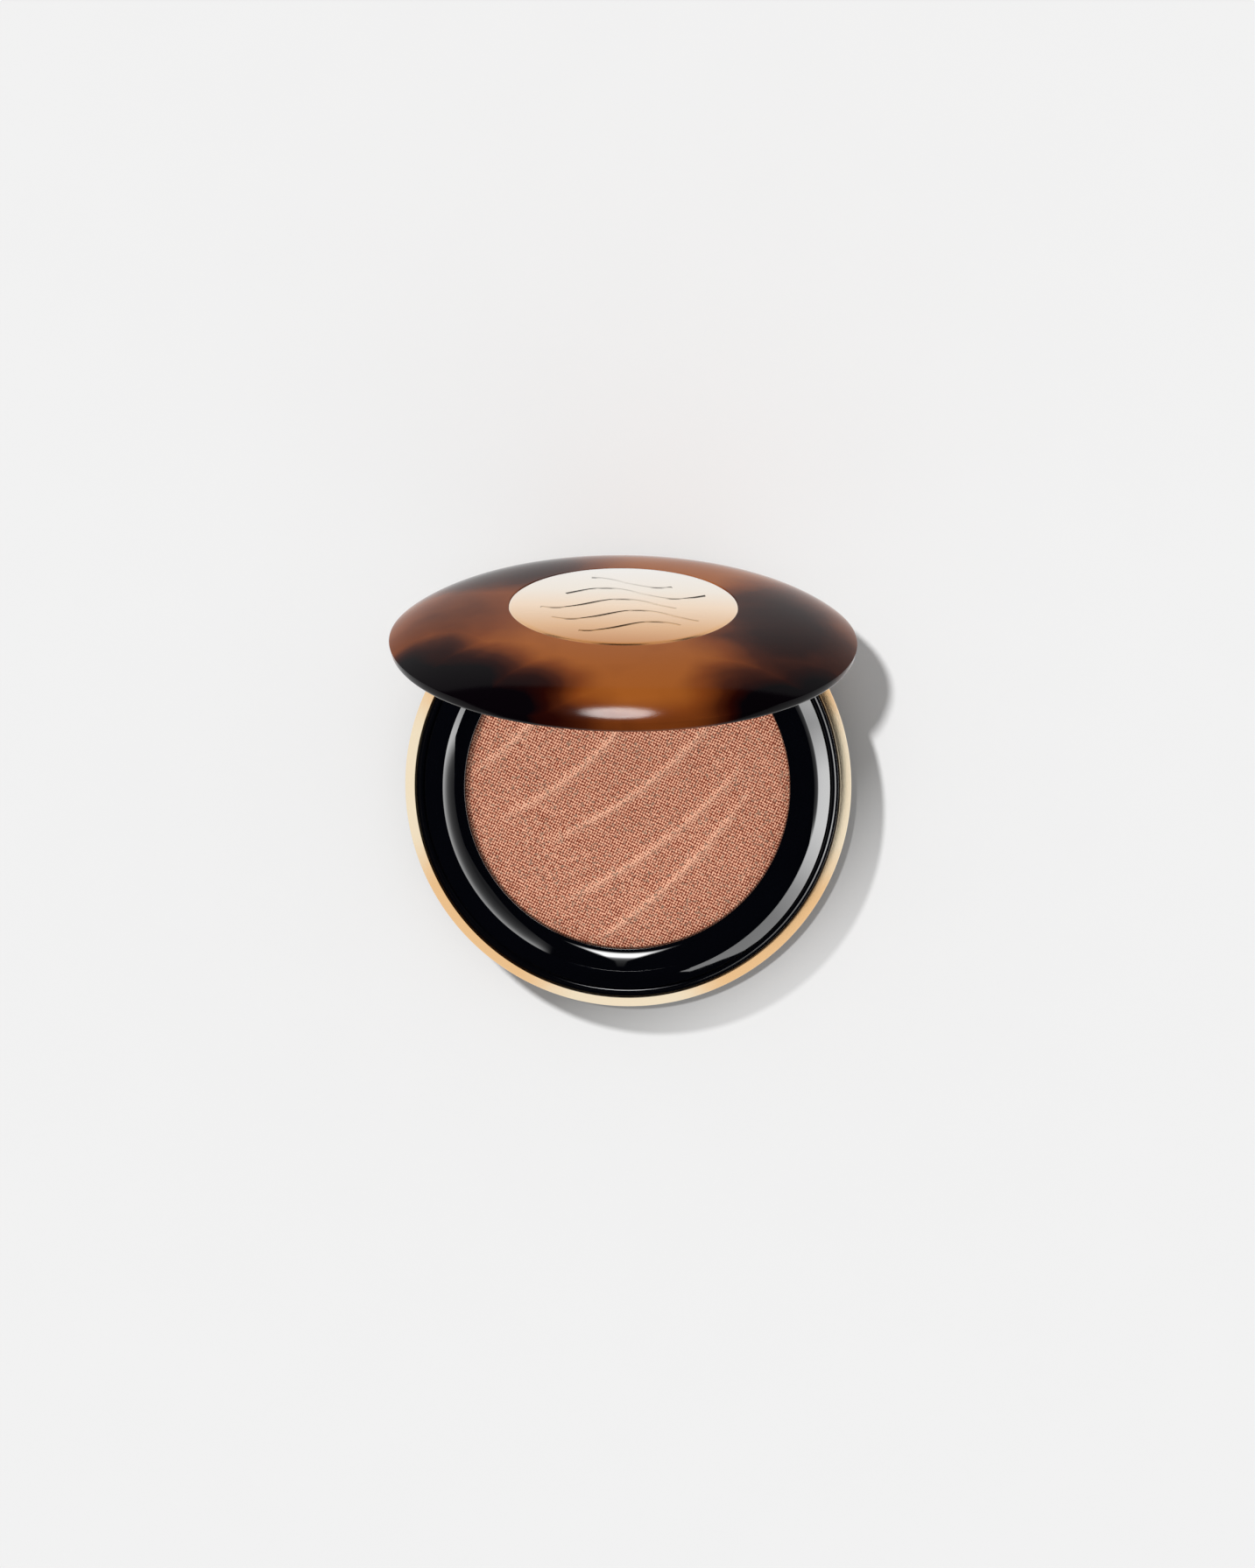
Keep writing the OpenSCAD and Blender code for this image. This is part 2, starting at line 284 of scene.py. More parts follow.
def panel(name, corners, brightness, receivers, shade, faces=None):
    """A glowing sheet seen only in the receivers' reflections; shade gives its pattern."""
    material, root = new_material(name, Base_Color=(0, 0, 0, 1), Specular_IOR_Level=0.0,
                                  Emission_Strength=brightness)
    feed(material, "Emission Color", shade(root))
    mesh = bpy.data.meshes.new(name)
    mesh.from_pydata(corners, [], faces or [range(len(corners))])
    mesh.materials.append(material)
    sheet = bpy.data.objects.new(name, mesh)
    sheet.visible_diffuse = False
    sheet.visible_camera = False
    sheet.visible_shadow = False
    sheet.light_linking.receiver_collection = receivers
    bpy.context.scene.collection.objects.link(sheet)


def axis_of(root, axis):
    """One of the object coordinates, in metres."""
    coordinates = root.node("ShaderNodeTexCoord", out="Object")
    return root.node("ShaderNodeSeparateXYZ", {}, {0: coordinates}, out=axis)


def grey_ramp(root, factor, stops):
    """A ramp of greys, from its (position, grey) stops."""
    colours = [(position, (grey, grey, grey, 1)) for position, grey in stops]
    return root.node("ShaderNodeValToRGB", {"stops": colours}, {"Fac": factor}, out="Color")


def even_shade(root):
    """An even sheet with a trace of mottling."""
    grain = noise(root, place(root), 30.0, 2.0)
    return mixed(grain, (0.98, 0.98, 0.98, 1), (1, 1, 1, 1))


def right_shade(root):
    """Bright low down, fading upwards, and in steps from the front to the back."""
    along_wall, height = axis_of(root, "Y"), axis_of(root, "Z")
    rise = height / (along_wall ** 2 + right_x ** 2).maths("SQRT")
    upwards = grey_ramp(root, rise * 0.605 * along_wall.smooth(-0.4, -0.1), [
        (0.0, 1.0), (0.17, 1.0), (0.23, 0.92), (0.315, 0.60), (0.41, 0.32), (0.49, 0.15), (0.59, 0.08),
        (0.71, 0.05), (0.99, 0.022)])
    along = grey_ramp(root, (along_wall + 3.0) / 4.3, [
        (0.163, 0.26), (0.353, 0.30), (0.488, 0.28), (0.564, 0.31), (0.603, 0.45), (0.633, 0.78),
        (0.66, 1.0), (0.698, 1.0), (0.733, 0.52), (0.80, 0.95), (1.0, 1.0)])
    high = rise.smooth(0.40, 0.46) * along_wall.smooth(-0.2, 0.0)
    return upwards * (along + (1 - along) * high) * (1 - along_wall.smooth(0.9, 1.25))


def front_shade(root):
    """A strip that narrows to the back and fades to the sides."""
    deep = axis_of(root, "Y")
    half_width = (0.112 - deep * 0.14).maths("MAXIMUM", 0.03)
    sideways = ((axis_of(root, "X") + 0.024) / half_width).maths("ABSOLUTE").smooth(0.6, 1.0)
    back = grey_ramp(root, (deep - high_near) / (high_far - high_near), [
        (0.0, 0.0), (0.05, 0.5), (0.09, 1.0), (0.22, 1.0), (0.27, 0.42), (0.32, 0.09), (0.45, 0.026),
        (0.62, 0.014), (0.8, 0.007), (1.0, 0.0)])
    return (1 - sideways) * back


def oval_shade(root):
    """An oval that is brightest in a ring inside its edge."""
    reach = ((axis_of(root, "X") + 0.02) / 0.17) ** 2 + ((axis_of(root, "Z") - 0.32) / 0.15) ** 2
    return grey_ramp(root, reach, [(0.0, 0.8), (0.35, 1.0), (0.7, 0.5), (1.0, 0.0)])


right_x = 0.56         # the tall panel stands upright here
right_outline = (
    # (towards the hinge, height): upright at the back, long and low with a point at the front
    (1.3, 0), (1.3, 1.6), (0.3, 1.6), (0.1, 1.0), (-0.15, 0.9), (-0.25, 0.5), (-1.3, 0.5),
    (-1.93, 0.365), (-2.35, 0.43), (-1.93, 0.299), (-1.48, 0.241), (-1.18, 0.185), (-0.967, 0.128),
    (-0.865, 0.104), (-0.80, 0.06), (-0.74, 0))
panel("right_panel", [(right_x, y, z) for y, z in right_outline], 12.5, tray_group, right_shade)
high_near, high_far = 0.13, 1.1     # the high panel lies flat over the hinge side
high_z = 0.90
panel("high_panel", [(x, y, high_z) for x, y in (
    (-0.14, high_near), (0.09, high_near), (0.09, high_far), (-0.14, high_far))],
      27, tray_group, front_shade)
low_y = 1.0                         # the low panel stands behind the hinge
panel("low_panel", [(x, low_y, z) for x, z in ((-0.2, 0.16), (0.16, 0.16), (0.16, 0.48), (-0.2, 0.48))],
      130, lid_group, oval_shade)

# The room that gold, glass and the outer black edges reflect: board, wall and ceiling.
ceiling_z = 1.6
ceiling_half = 3.1
ceiling_light = 0.55
wall_r = 3
wall_bottom = -0.1
wall_parts = 48
panel("board_glow", [(x * floor_half, y * floor_half, -0.5 * mm) for x, y in square],
      backdrop, glow_group, even_shade)
panel("ceiling_glow", [(x * ceiling_half, y * ceiling_half, ceiling_z) for x, y in square],
      ceiling_light, wall_group, even_shade)
panel("wall_glow", [(wall_r * cos(2 * pi * i / wall_parts), wall_r * sin(2 * pi * i / wall_parts), z)
                    for z in (wall_bottom, ceiling_z) for i in range(wall_parts)],
      backdrop, wall_group, even_shade,
      [(i, (i + 1) % wall_parts, wall_parts + (i + 1) % wall_parts, wall_parts + i)
       for i in range(wall_parts)])


# ---- Bowl ----
# The lower shell: one polished black moulding with a flat foot, a shallow
# recess for the sticker, and the hinge's middle knuckle on a web at the back.
body_r = (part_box("waist_band")[1].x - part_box("waist_band")[0].x) / 2
hinge_y, seat = frame["joints"][0]["pos_m"][1:]
opened = radians(-frame["joints"][0]["range_deg"][0])
to_hinge_axis = Matrix.Translation((0, hinge_y, seat)) @ Matrix.Rotation(pi / 2, 4, "Y")


def new_tree(name, inputs):
    """A Geometry Nodes tree with named inputs; returns the tree and its inputs as values."""
    tree = bpy.data.node_groups.new(name, "GeometryNodeTree")
    tree.interface.new_socket("Geometry", in_out="INPUT", socket_type="NodeSocketGeometry")
    for label, kind in inputs:
        tree.interface.new_socket(label, in_out="INPUT", socket_type=kind)
    tree.interface.new_socket("Geometry", in_out="OUTPUT", socket_type="NodeSocketGeometry")
    source = tree.nodes.new("NodeGroupInput")
    return tree, {s.name: Value(tree, s) for s in source.outputs if s.name}


def end_tree(tree, geometry, material):
    """Realises instances, sets the material and sends the geometry out."""
    whole = geometry.node("GeometryNodeRealizeInstances", {}, {"Geometry": geometry})
    painted = whole.node("GeometryNodeSetMaterial", {}, {"Geometry": whole, "Material": material})
    sink = tree.nodes.new("NodeGroupOutput")
    tree.links.new(painted.socket, sink.inputs["Geometry"])


def turning_tree():
    """Turns an outline of (radius, 0, height) points about Z into a closed skin."""
    tree, given = new_tree("turning", [("Segments", "NodeSocketInt"), ("Material", "NodeSocketMaterial")])
    points = given["Geometry"].node("GeometryNodeAttributeDomainSize", {}, {"Geometry": given["Geometry"]})
    grid = points.node("GeometryNodeMeshGrid", {}, {
        "Size X": points - 1, "Size Y": given["Segments"],
        "Vertices X": points, "Vertices Y": given["Segments"] + 1})
    position = points.node("GeometryNodeInputPosition")
    along = position.node("ShaderNodeSeparateXYZ", {}, {0: position}, out="X")
    around = position.node("ShaderNodeSeparateXYZ", {}, {0: position}, out="Y")
    index = (along + (points - 1) * 0.5).maths("ROUND")
    sample = position.node("GeometryNodeSampleIndex", {"data_type": "FLOAT_VECTOR"}, {
        "Geometry": given["Geometry"], "Value": position, "Index": index})
    turned_point = position.node("ShaderNodeVectorRotate", {"rotation_type": "Z_AXIS"}, {
        "Vector": sample, "Angle": (around / given["Segments"] + 0.5) * (2 * pi)})
    skin = grid.node("GeometryNodeSetPosition", {}, {"Geometry": grid, "Position": turned_point})
    merged = skin.node("GeometryNodeMergeByDistance", {}, {"Geometry": skin, "Distance": 1e-6})
    end_tree(tree, merged, given["Material"])
    return tree


turning = turning_tree()


def run_tree(piece, tree, **inputs):
    """Runs a tree on a piece and leaves the result as its plain mesh."""
    modifier = piece.modifiers.new(tree.name, "NODES")
    modifier.node_group = tree
    for item in tree.interface.items_tree:
        key_name = item.name.replace(" ", "_")
        if item.in_out == "INPUT" and key_name in inputs:
            modifier[item.identifier] = inputs[key_name]
    return settle(piece)


def settle(piece, sharp_angle=30):
    """Makes the evaluated mesh the piece's own, with outward faces and sharp edges past an angle."""
    graph = bpy.context.evaluated_depsgraph_get()
    mesh = bpy.data.meshes.new_from_object(piece.evaluated_get(graph))
    piece.modifiers.clear()
    piece.data = mesh
    shape = bmesh.new()
    shape.from_mesh(mesh)
    bmesh.ops.remove_doubles(shape, verts=shape.verts, dist=1e-6)
    bmesh.ops.recalc_face_normals(shape, faces=shape.faces)
    for face in shape.faces:
        face.smooth = True
    for edge in shape.edges:
        edge.smooth = edge.calc_face_angle(0) < radians(sharp_angle)
    shape.to_mesh(mesh)
    shape.free()
    return piece


def piece_from(name, points, edges=()):
    """An object of points, with edges where a path needs them."""
    mesh = bpy.data.meshes.new(name)
    mesh.from_pydata(points, list(edges), [])
    piece = bpy.data.objects.new(name, mesh)
    bpy.context.scene.collection.objects.link(piece)
    return piece


def turned(name, outline, material, segments=256):
    """A piece of revolution about Z, from (radius, height) points in millimetres."""
    piece = piece_from(name, [(r * mm, 0, z * mm) for r, z in outline])
    return run_tree(piece, turning, Segments=segments, Material=material)


def rounded(corners, steps=4):
    """An outline whose corners (radius, height, fillet) are rounded; a fillet of 0 keeps the point."""
    outline = []
    for i, (x, z, fillet) in enumerate(corners):
        here = Vector((x, z))
        if fillet == 0 or i in (0, len(corners) - 1):
            outline.append((x, z))
            continue
        before = Vector(corners[i - 1][:2]) - here
        after = Vector(corners[i + 1][:2]) - here
        reach = min(fillet, 0.49 * before.length, 0.49 * after.length)
        start = here + before.normalized() * reach
        end = here + after.normalized() * reach
        for k in range(steps + 1):
            t = k / steps
            outline.append(tuple(start * (1 - t) ** 2 + here * 2 * t * (1 - t) + end * t * t))
    return outline


def arc(centre, radius, start, end, steps):
    """Points (radius, height, 0) along an arc, with angles in degrees from the outward direction."""
    angles = [radians(start + (end - start) * i / steps) for i in range(steps + 1)]
    return [(centre[0] + radius * cos(a), centre[1] + radius * sin(a), 0) for a in angles]


def combine(piece, other, operation):
    """Cuts another shape out of a piece, or joins it on, and removes the other."""
    modifier = piece.modifiers.new("combine", "BOOLEAN")
    modifier.operation = operation
    modifier.solver = "EXACT"
    modifier.object = other
    settle(piece)
    bpy.data.objects.remove(other)


def along_hinge(name, radius, x0, x1, material, edge=0.0):
    """A rod about the hinge axis, from x0 to x1, in millimetres."""
    rod = turned(name, rounded([(0, x0, 0), (radius, x0, edge), (radius, x1, edge), (0, x1, 0)]),
                 material, 96)
    rod.data.transform(to_hinge_axis)
    return rod


def block(name, low, high, material):
    """A box between two corners, in millimetres."""
    shape = bmesh.new()
    bmesh.ops.create_cube(shape, size=1)
    size = Vector(high) - Vector(low)
    for vertex in shape.verts:
        vertex.co = Vector([(l + (c + 0.5) * s) * mm for l, c, s in zip(low, vertex.co, size)])
    mesh = bpy.data.meshes.new(name)
    shape.to_mesh(mesh)
    shape.free()
    mesh.materials.append(material)
    made = bpy.data.objects.new(name, mesh)
    bpy.context.scene.collection.objects.link(made)
    return made


def black_gloss(name):
    """Polished black plastic: a faint flow in the surface, fine rub marks in the gloss."""
    material, root = new_material(name, IOR=1.5)
    here = place(root)
    flow = noise(root, here, 90.0, 2.0)
    rubs = noise(root, place(root, scale=(1, 1, 6)), 420.0, 3.0, 0.6)
    feed(material, "Base Color", mixed(flow, (0.0010, 0.0012, 0.0022, 1), (0.0016, 0.0018, 0.0032, 1)))
    feed(material, "Roughness", 0.025 + rubs.smooth(0.45, 0.9) * 0.04)
    feed(material, "Normal", bump(root, flow, 0.02 * mm))
    return material


r_mm = body_r / mm
seat_mm = seat / mm
hinge_mm = hinge_y / mm
bowl_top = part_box("waist_band")[0].z / mm      # where the band sits on the bowl
bowl_arc_r = 14.2
bowl_arc_c = (r_mm - 13.15, 14.0)
bowl_wall = 1.5
label_r = 18.2
label_recess = 0.3
collar_r = r_mm - 4.1
collar_w = 1.2
knuckle_r = 1.7
knuckle_clear = 0.2
base_knuckle = 5.0         # half the width of the middle knuckle
hinge_end = 9.5            # outer end of the lid's knuckles
rim_sweep_r = 3.5          # at the middle of the barrel that the lid's rim sweeps
rim_sweep_x = 13.5         # half its length
arch_r = 2.2               # its radius at the ends, and the arch in the lid's rim
web_depth = 2.5
bore_r = 0.76


def on_arc(height, radius):
    """Angle at which the bowl's arc passes a height."""
    return degrees(asin((height - bowl_arc_c[1]) / radius))


def rim_sweep(name, material):
    """The barrel that the lid's rear rim sweeps as it opens."""
    sag = rim_sweep_r - arch_r
    barrel_r = (rim_sweep_x ** 2 + sag ** 2) / (2 * sag)
    bulge = [(sqrt(barrel_r ** 2 - (rim_sweep_x * (i / 10 - 1)) ** 2) - barrel_r + rim_sweep_r,
              rim_sweep_x * (i / 10 - 1)) for i in range(21)]
    barrel = turned(name, [(0, -rim_sweep_x), *bulge, (0, rim_sweep_x)], material, 96)
    barrel.data.transform(to_hinge_axis)
    return barrel


bowl_black = black_gloss("bowl_black")
bowl_inner = bowl_arc_r - bowl_wall
bowl = turned("bowl", rounded([
    (0, label_recess, 0), (label_r, label_recess, 0.1), (label_r, 0, 0.15),
    *arc(bowl_arc_c, bowl_arc_r, on_arc(0, bowl_arc_r), on_arc(bowl_top - 0.15, bowl_arc_r), 24),
    (bowl_arc_c[0] + sqrt(bowl_arc_r ** 2 - (bowl_top - bowl_arc_c[1]) ** 2) - 0.12, bowl_top, 0.05),
    (collar_r, bowl_top, 0.2), (collar_r, seat_mm - 1, 0.2), (collar_r - collar_w, seat_mm - 1, 0.2),
    (collar_r - collar_w, bowl_top - collar_w, 0.1),
    *arc(bowl_arc_c, bowl_inner, on_arc(bowl_top - collar_w, bowl_inner), on_arc(bowl_wall, bowl_inner), 12),
    (0, bowl_wall, 0),
]), bowl_black, 320)
for side in (-1, 1):
    ends = sorted((side * base_knuckle, side * (hinge_end + knuckle_clear)))
    combine(bowl, along_hinge("room", knuckle_r + knuckle_clear, *ends, bowl_black), "DIFFERENCE")
combine(bowl, rim_sweep("room", bowl_black), "DIFFERENCE")
combine(bowl, block("web", (-base_knuckle + 0.1, hinge_mm - web_depth, bowl_top - collar_w),
                    (base_knuckle - 0.1, hinge_mm - 0.1, seat_mm), bowl_black), "UNION")
combine(bowl, along_hinge("knuckle", knuckle_r, -base_knuckle, base_knuckle, bowl_black, 0.2), "UNION")
combine(bowl, along_hinge("bore", bore_r, -base_knuckle - 1, base_knuckle + 1, bowl_black), "DIFFERENCE")
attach(bowl, "base")
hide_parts("base_shell")


# ---- Waist band ----
# A plated gold ring that hides the joint between bowl and tray. Its face
# slopes up and inwards; the back is open for the lid's rim to swing through.
band_in = r_mm - 2.2
band_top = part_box("waist_band")[1].z / mm
band_under = r_mm - 0.75
band_low, band_high = bowl_top + 0.85, bowl_top + 1.45     # ends of the upright edge
band_chamfer = 0.35
sheen_patches = 4           # painted sheen: four paler stretches round the ring, as if lit more there
band_gold, root = new_material("band_gold", Metallic=1.0, Specular_Tint=(1.0, 0.97, 0.9, 1))
here = place(root)
plating = noise(root, here, 300.0, 2.0)
wipe = noise(root, place(root, scale=(1, 1, 12)), 900.0, 2.0)
across, deep = split(root, here)[:2]
turn = deep.maths("ARCTAN2", across)
# Painted sheen mixed with the plating's own mottling: the gold is paled in four stretches round the ring, as if
# lit there.
pale = ((turn * sheen_patches).maths("COSINE") * 0.5 + 0.5 + (plating - 0.5) * 0.2).smooth(0.25, 0.85)
feed(band_gold, "Base Color", mixed(pale, (0.95, 0.60, 0.30, 1), (1.0, 0.85, 0.62, 1)))
feed(band_gold, "Roughness", 0.12 + wipe * 0.08)
feed(band_gold, "Normal", bump(root, wipe, 0.004 * mm))
band = turned("waist_band_gold", rounded([
    (band_in, bowl_top + 1, 0), (band_in, bowl_top, 0.1), (band_under, bowl_top, 0.2),
    (r_mm, band_low, 0.35), (r_mm, band_high, 0.35), (band_in + band_chamfer, band_top, 0.08),
    (band_in, band_top - band_chamfer, 0.05), (band_in, bowl_top + 1, 0)
], 6), band_gold, 360)
combine(band, rim_sweep("room", band_gold), "DIFFERENCE")
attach(band, "base")
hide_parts("waist_band")


# ---- Tray ----
# The black ring that frames the powder: a hollow slope up to a fine ridge, a
# cone down from it to a groove, and a small bead inside the gold band.
tray_black = black_gloss("tray_black")
tray_r = r_mm - 2.3
skirt_in = r_mm - 4
ridge_r = 32.9
ridge_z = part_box("inner_tray")[1].z / mm
lip_z = seat_mm + 0.15     # the lip over the pan's rim
lip_t = 0.35
opening_r = 28.9
well_in = 29.6             # wall of the well, its bottom and its outside
well_out = well_in + 1
well_bottom = seat_mm - 3
slope_r = 7.5              # the hollow slope is an arc, between two angles in degrees
slope_from, slope_to = 4.5, 36
land_r, land_z = 33.95, ridge_z - 0.2
cone_r = r_mm - 3.8
cone_z = land_z - 1.73
cone_swell = 0.03          # the cone is a little crowned
groove_z = seat_mm - 0.05
bead_c = (r_mm - 3.15, seat_mm - 0.2)
bead_r = 0.5
skirt_bottom = bowl_top + 0.6
channel_out = cone_r - 1   # the channel under the ridge
channel_bottom, channel_top = seat_mm - 0.8, seat_mm + 0.3
notch_y = hinge_mm - 0.15  # the tray is cut straight behind this line
web_slot_y = hinge_mm - 2.7


def tray_outline():
    """The ring's section: well, lip, slope, ridge, cone, groove, bead, skirt and channel."""
    slope_c = (ridge_r - slope_r * sin(radians(slope_to)), ridge_z + slope_r * cos(radians(slope_to)))
    slope = arc(slope_c, slope_r, slope_from - 90, slope_to - 90, 28)
    cone = [(land_r + (cone_r - land_r) * k / 10,
             land_z - (land_z - cone_z) * k / 10 + cone_swell * (1 - (k / 5 - 1) ** 2), 0) for k in range(11)]
    brow = slope[0][:2]
    return rounded([
        (well_in, well_bottom, 0), (well_in, lip_z, 0), (opening_r, lip_z, 0.05),
        (opening_r, lip_z + lip_t, 0.1), (*brow, 0.1), *slope[1:-1], (ridge_r, ridge_z, 0.03),
        *cone[:-1], (cone_r, cone_z, 0.07), (cone_r, groove_z, 0.04),
        *arc(bead_c, bead_r, 162, 24, 14), (tray_r, groove_z, 0.05),
        (tray_r, skirt_bottom, 0.2), (skirt_in, skirt_bottom, 0.2),
        (skirt_in, channel_bottom, 0), (channel_out, channel_bottom, 0), (channel_out, channel_top, 0),
        (well_out, channel_top, 0), (well_out, well_bottom, 0), (well_in, well_bottom, 0),
    ])


tray = turned("tray_ring", tray_outline(), tray_black, 360)
combine(tray, along_hinge("room", knuckle_r + knuckle_clear, -hinge_end - knuckle_clear,
                          hinge_end + knuckle_clear, tray_black), "DIFFERENCE")
combine(tray, block("room", (-rim_sweep_x, notch_y, 0), (rim_sweep_x, r_mm + 1, seat_mm + 4),
                    tray_black), "DIFFERENCE")
combine(tray, block("room", (-base_knuckle - 0.2, web_slot_y, 0),
                    (base_knuckle + 0.2, r_mm + 1, seat_mm + 0.2), tray_black), "DIFFERENCE")
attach(tray, "base")
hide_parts("inner_tray")


# ---- Powder ----
# Shimmer powder pressed into its pan through a fine cloth, with long soft
# creases in relief that sweep across it like ripples in sand.
powder_r = 29.05
powder_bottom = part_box("powder_cake")[0].z / mm
powder_edge = lip_z - 0.1
powder_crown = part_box("powder_cake")[1].z / mm
crown_r = (opening_r ** 2 + (powder_crown - powder_edge) ** 2) / (2 * (powder_crown - powder_edge))
crease_height = 0.40
crease_width = 0.80
crease_skirt = 4.5         # width of the gentle side
creases = [
    # centre x, centre y, radius, start angle, end angle of each crease (mm, degrees)
    (-52, 40, 45, 298, 346), (-46, 46, 57, 290, 334), (-40, 54, 69, 288, 331), (-48, 58, 87, 292, 325),
    (-60, 52, 97, 300, 330),
]


def emboss_tree():
    """Lifts the top of the cake along arcs: steep on one side of each, gentle on the other."""
    tree, given = new_tree("embossing", [("Height", "NodeSocketFloat"), ("Material", "NodeSocketMaterial")])
    position = given["Geometry"].node("GeometryNodeInputPosition")
    x = position.node("ShaderNodeSeparateXYZ", {}, {0: position}, out="X") / mm
    y = position.node("ShaderNodeSeparateXYZ", {}, {0: position}, out="Y") / mm
    z = position.node("ShaderNodeSeparateXYZ", {}, {0: position}, out="Z") / mm
    relief = x * 0
    glint = x * 0
    for centre_x, centre_y, radius, start, end in creases:
        dx, dy = x - centre_x, y - centre_y
        off = (dx * dx + dy * dy).maths("SQRT") - radius
        middle = radians((start + end) / 2)
        half = radians((end - start) / 2)
        swing = (dx * cos(middle) + dy * sin(middle)) / (off + radius)
        along = swing.maths("ARCCOSINE") / half
        fade = 1 - along.smooth(0.45, 1.0)
        ridge = (-((off / crease_width) ** 2)).maths("EXPONENT")
        skirt = off.smooth(-crease_skirt, 0.0) * (1 - off.smooth(0.0, 0.6))
        relief = relief + fade * (ridge * 0.75 + skirt * 0.5)
        glint = glint + fade * ridge
    rim = 1 - ((x * x + y * y).maths("SQRT")).smooth(26.5, 28.6)
    top = z.smooth(powder_edge - 0.3, powder_edge - 0.05)
    lift = relief * rim * top * given["Height"] * mm
    offset = position.node("ShaderNodeCombineXYZ", {}, {"X": 0.0, "Y": 0.0, "Z": lift})
    moved = position.node("GeometryNodeSetPosition", {}, {"Geometry": given["Geometry"], "Offset": offset})
    # Keeps the ridge mask, which the powder uses for a painted highlight along the ridges.
    kept = moved.node("GeometryNodeStoreNamedAttribute", {"data_type": "FLOAT", "domain": "POINT"}, {
        "Geometry": moved, "Name": "crease", "Value": glint * rim * top})
    end_tree(tree, kept, given["Material"])
    return tree


powder_paint, root = new_material("pressed_powder", Specular_IOR_Level=0.35)
here = place(root)
crease = root.node("ShaderNodeAttribute", {"attribute_name": "crease"}, out="Fac")


def threads(direction, scale):
    """The print of one set of the pressing cloth's threads."""
    return root.node("ShaderNodeTexWave", {"wave_type": "BANDS", "bands_direction": direction}, {
        "Vector": place(root, rotation=(0, 0, radians(24))), "Scale": scale, "Distortion": 2.5,
        "Detail": 2.0, "Detail Scale": 1.5})


cloth = threads("X", 700.0) * 0.5 + threads("Y", 620.0) * 0.5
clumps = noise(root, here, 2600.0, 2.0, 0.6)
patches = noise(root, here, 120.0, 3.0)
mica = root.node("ShaderNodeTexVoronoi", {"feature": "F1"}, {"Vector": here, "Scale": 3400.0}, out="Color")
mica_pick = root.node("ShaderNodeSeparateColor", {}, {"Color": mica}, out="Red")
sparkle = mica_pick.smooth(0.80, 0.98)      # only some of the flakes glint
grain = cloth * 0.5 + clumps * 0.5
# Painted highlight: the crease term lightens the ridges in the colour. Grain, patches and the cloth print are the
# powder's own.
tone = (grain - 0.5) * 7.0 + 0.42 + (patches - 0.5) * 0.35 + crease * 0.75
powder_colour = root.node("ShaderNodeValToRGB", {"stops": [
    (0.0, (0.20, 0.032, 0.012, 1)), (0.5, (0.57, 0.148, 0.066, 1)), (1.0, (1.0, 0.55, 0.37, 1))]},
    {"Fac": tone}, out="Color")
feed(powder_paint, "Base Color", mixed(sparkle * 0.6, powder_colour, (0.95, 0.60, 0.42, 1)))
feed(powder_paint, "Roughness", 0.62 - sparkle * 0.3)
feed(powder_paint, "Metallic", sparkle * 0.6)
feed(powder_paint, "Normal", bump(root, grain, 0.10 * mm, 0.8))
cake_radii = [opening_r * i / 100 for i in range(100, -1, -1)]
cake = turned("powder", [
    (0, powder_bottom), (powder_r, powder_bottom), (powder_r, powder_edge - 0.05),
    *[(x, powder_crown - crown_r + sqrt(crown_r ** 2 - x ** 2)) for x in cake_radii],
], powder_paint, 480)
run_tree(cake, emboss_tree(), Height=crease_height, Material=powder_paint)
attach(cake, "base")
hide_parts("powder_cake")


# ---- Lid shell ----
# A polished dome of tortoiseshell resin: warm amber with deep brown clouds,
# drawn in under its widest line, with a round recess for the medallion.
rim_h = 2.0                # heights are over the seat; this is the widest line
dome_h = 8.34
dome_power = 4.4           # squareness of the dome's section
dome_fall = 0.92
lip_undercut = 1.5
medallion_r = 19.5
recess_r = medallion_r + 0.05
recess_floor = 7.35
cavity_r = r_mm - 1.95
cavity_crown = dome_h - 1.14
cavity_ceiling = 6.1
ceiling_r = 27.0


def dome_z(x, radius, crown):
    """Height of a dome over the seat at a distance from its axis."""
    return rim_h + (crown - rim_h) * max(0, 1 - (x / radius) ** dome_power) ** dome_fall


def dome(radius, crown, inner, steps, outwards=True):
    """Points of a dome's section from the radius inner to its rim, closer together at the rim."""
    first = asin((inner / radius) ** (dome_power / 2))
    turns = [first + (pi / 2 - first) * i / steps for i in range(steps + 1)]
    radii = [radius * sin(t) ** (2 / dome_power) for t in turns]
    points = [(x, seat_mm + dome_z(x, radius, crown), 0) for x in radii]
    return points if outwards else points[::-1]


to_open = (Matrix.Translation((0, hinge_y, seat)) @ Matrix.Rotation(-opened, 4, "X")
           @ Matrix.Translation((0, -hinge_y, -seat)))


def stand_open(piece):
    """Swings a piece made closed to where the lid stands."""
    piece.data.transform(to_open)


def lid_place(root):
    """Coordinates on the lid in millimetres: X across, Y towards the hinge, Z out of the dome."""
    back = to_open.inverted()
    coordinates = root.node("ShaderNodeTexCoord", out="Object")
    return root.node("ShaderNodeMapping", {"vector_type": "POINT"}, {
        "Vector": coordinates, "Location": back.to_translation() / mm, "Rotation": back.to_euler(),
        "Scale": (1 / mm, 1 / mm, 1 / mm)})


